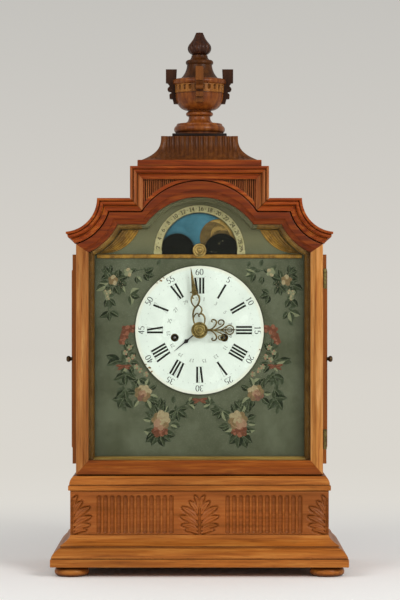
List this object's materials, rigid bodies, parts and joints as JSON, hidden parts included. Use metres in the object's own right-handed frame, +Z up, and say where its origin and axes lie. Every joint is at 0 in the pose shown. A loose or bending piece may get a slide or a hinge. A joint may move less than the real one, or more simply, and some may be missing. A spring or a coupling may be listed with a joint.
{
  "type": "table clock",
  "caption": "Wooden table clock with a break-arch glazed door, moon dial, urn top and side doors, over a spring movement with pendulum, bell and winding arbors.",
  "frame": {"origin": "middle of the footprint, on the floor under the feet", "axes": "+Z up, the dial faces -Y, +X to the right as seen from the front"},
  "size_m": [0.352, 0.2, 0.6547],
  "materials": {
    "polished_wood": "polished walnut",
    "plain_wood": "bare wood",
    "dark_wood": "ebonised",
    "gilt_wood": "carved and gilded",
    "glass": "clear pane",
    "enamel": "fired white enamel",
    "painted_iron": "oil paint",
    "moon_paint": "oil paint",
    "dark_bronze": "dark bronze",
    "bell_metal": "turned bell metal",
    "blued_steel": "blackened",
    "steel": "polished",
    "brass": "lacquered"
  },
  "bodies": {
    "case": {"foot_front_left": "polished_wood", "foot_front_right": "polished_wood", "foot_back_left": "polished_wood", "foot_back_right": "polished_wood", "plinth_moulding": "polished_wood", "base_frieze_front": "polished_wood", "base_box": "polished_wood", "base_cap": "polished_wood", "case_side_left": "polished_wood", "case_side_right": "polished_wood", "roof_left": "polished_wood", "roof_right": "polished_wood", "back_frame": "polished_wood", "seatboard": "plain_wood", "cornice_left": "polished_wood", "cornice_right": "polished_wood", "block_front": "polished_wood", "block_body": "polished_wood", "pedestal": "polished_wood", "urn_plinth": "dark_wood", "urn_bowl": "polished_wood", "urn_lid": "polished_wood", "urn_finial": "polished_wood", "front_door_hinge_lower": "brass", "front_door_hinge_upper": "brass", "dial_surround": "polished_wood", "dial_plate": "painted_iron", "enamel_dial": "enamel", "gilt_strip": "gilt_wood", "fan_spandrel_left": "gilt_wood", "fan_spandrel_right": "gilt_wood", "front_plate": "brass", "back_plate": "brass", "bell": "bell_metal", "back_cock": "brass"},
    "front_door": {"front_door_frame": "polished_wood", "front_door_glass": "glass"},
    "side_door_left": {"side_door_left": "polished_wood", "side_knob_left": "dark_bronze"},
    "side_door_right": {"side_door_right": "polished_wood", "side_knob_right": "dark_bronze"},
    "back_door": {"back_door": "polished_wood"},
    "minute_hand": {"minute_hand": "brass", "hand_collet": "brass"},
    "hour_hand": {"hour_hand": "brass"},
    "date_hand": {"date_hand": "blued_steel"},
    "moon_disc": {"moon_disc": "moon_paint"},
    "motion_minute_wheel": {"motion_minute_wheel": "brass"},
    "going_barrel": {"going_barrel": "brass"},
    "going_winding_arbor": {"going_winding_arbor": "steel"},
    "centre_wheel": {"centre_wheel": "brass"},
    "third_wheel": {"third_wheel": "brass"},
    "escape_wheel": {"escape_wheel": "brass"},
    "pendulum": {"pallet_anchor": "steel", "pendulum": "brass"},
    "strike_barrel": {"strike_barrel": "brass"},
    "strike_winding_arbor": {"strike_winding_arbor": "steel"},
    "pin_wheel": {"pin_wheel": "brass"},
    "strike_fly": {"strike_fly": "brass"},
    "hammer": {"hammer": "steel"}
  },
  "joints": [
    {"name": "front_door_turn", "type": "hinge", "parent": "case", "child": "front_door", "pos_m": [0.1495, -0.06946, 0.26], "axis": [0, 0, 1], "range_deg": [0, 95]},
    {"name": "side_door_left_turn", "type": "hinge", "parent": "case", "child": "side_door_left", "pos_m": [-0.1498, 0.0845, 0.26], "axis": [0, 0, -1], "range_deg": [0, 95]},
    {"name": "side_door_right_turn", "type": "hinge", "parent": "case", "child": "side_door_right", "pos_m": [0.1498, 0.0845, 0.26], "axis": [0, 0, 1], "range_deg": [0, 95]},
    {"name": "back_door_turn", "type": "hinge", "parent": "case", "child": "back_door", "pos_m": [-0.0983, 0.098, 0.275], "axis": [0, 0, 1], "range_deg": [0, 100]},
    {"name": "minute_hand_turn", "type": "hinge", "parent": "case", "child": "minute_hand", "pos_m": [0, -0.05, 0.291], "axis": [0, 1, 0], "continuous": true},
    {"name": "hour_hand_turn", "type": "hinge", "parent": "case", "child": "hour_hand", "pos_m": [0, -0.05, 0.291], "axis": [0, 1, 0], "continuous": true},
    {"name": "date_hand_turn", "type": "hinge", "parent": "case", "child": "date_hand", "pos_m": [0, -0.05, 0.291], "axis": [0, 1, 0], "continuous": true},
    {"name": "moon_disc_turn", "type": "hinge", "parent": "case", "child": "moon_disc", "pos_m": [0, -0.041, 0.3868], "axis": [0, 1, 0], "continuous": true},
    {"name": "motion_minute_wheel_turn", "type": "hinge", "parent": "case", "child": "motion_minute_wheel", "pos_m": [0, -0.027, 0.2686], "axis": [0, 1, 0], "continuous": true},
    {"name": "escape_wheel_turn", "type": "hinge", "parent": "case", "child": "escape_wheel", "pos_m": [0, 0.008, 0.33515], "axis": [0, 1, 0], "continuous": true},
    {"name": "third_wheel_turn", "type": "hinge", "parent": "case", "child": "third_wheel", "pos_m": [0.008, 0.017, 0.31299], "axis": [0, 1, 0], "continuous": true},
    {"name": "centre_wheel_turn", "type": "hinge", "parent": "case", "child": "centre_wheel", "pos_m": [0, -0.015, 0.291], "axis": [0, 1, 0], "continuous": true},
    {"name": "going_barrel_turn", "type": "hinge", "parent": "case", "child": "going_barrel", "pos_m": [0.02975, 0, 0.282], "axis": [0, 1, 0], "continuous": true},
    {"name": "going_winding_arbor_turn", "type": "hinge", "parent": "case", "child": "going_winding_arbor", "pos_m": [0.02975, 0, 0.282], "axis": [0, 1, 0], "range_deg": [0, 2520]},
    {"name": "pendulum_turn", "type": "hinge", "parent": "case", "child": "pendulum", "pos_m": [0, 0.03, 0.35515], "axis": [0, 1, 0], "range_deg": [-4, 4]},
    {"name": "strike_fly_turn", "type": "hinge", "parent": "case", "child": "strike_fly", "pos_m": [-0.03048, 0.009, 0.32835], "axis": [0, 1, 0], "continuous": true},
    {"name": "pin_wheel_turn", "type": "hinge", "parent": "case", "child": "pin_wheel", "pos_m": [-0.04038, -0.013, 0.31121], "axis": [0, 1, 0], "continuous": true},
    {"name": "strike_barrel_turn", "type": "hinge", "parent": "case", "child": "strike_barrel", "pos_m": [-0.02975, 0, 0.282], "axis": [0, 1, 0], "continuous": true},
    {"name": "strike_winding_arbor_turn", "type": "hinge", "parent": "case", "child": "strike_winding_arbor", "pos_m": [-0.02975, 0, 0.282], "axis": [0, 1, 0], "range_deg": [0, 2520]},
    {"name": "hammer_turn", "type": "hinge", "parent": "case", "child": "hammer", "pos_m": [-0.042, 0.022, 0.3485], "axis": [0, 1, 0], "range_deg": [-12, 0], "stiffness_Nm_per_rad": 0.012, "springref_deg": 14.32}
  ],
  "couplings": [
    {"joint": "motion_minute_wheel_turn", "follows": "minute_hand_turn", "ratio": -0.33333},
    {"joint": "hour_hand_turn", "follows": "minute_hand_turn", "ratio": 0.083333},
    {"joint": "date_hand_turn", "follows": "minute_hand_turn", "ratio": 0.0013441},
    {"joint": "moon_disc_turn", "follows": "minute_hand_turn", "ratio": 0.00070621},
    {"joint": "third_wheel_turn", "follows": "escape_wheel_turn", "ratio": -0.085714},
    {"joint": "centre_wheel_turn", "follows": "escape_wheel_turn", "ratio": 0.0071429},
    {"joint": "going_barrel_turn", "follows": "escape_wheel_turn", "ratio": -0.00071429},
    {"joint": "pin_wheel_turn", "follows": "strike_fly_turn", "ratio": -0.1},
    {"joint": "strike_barrel_turn", "follows": "strike_fly_turn", "ratio": 0.01}
  ]
}
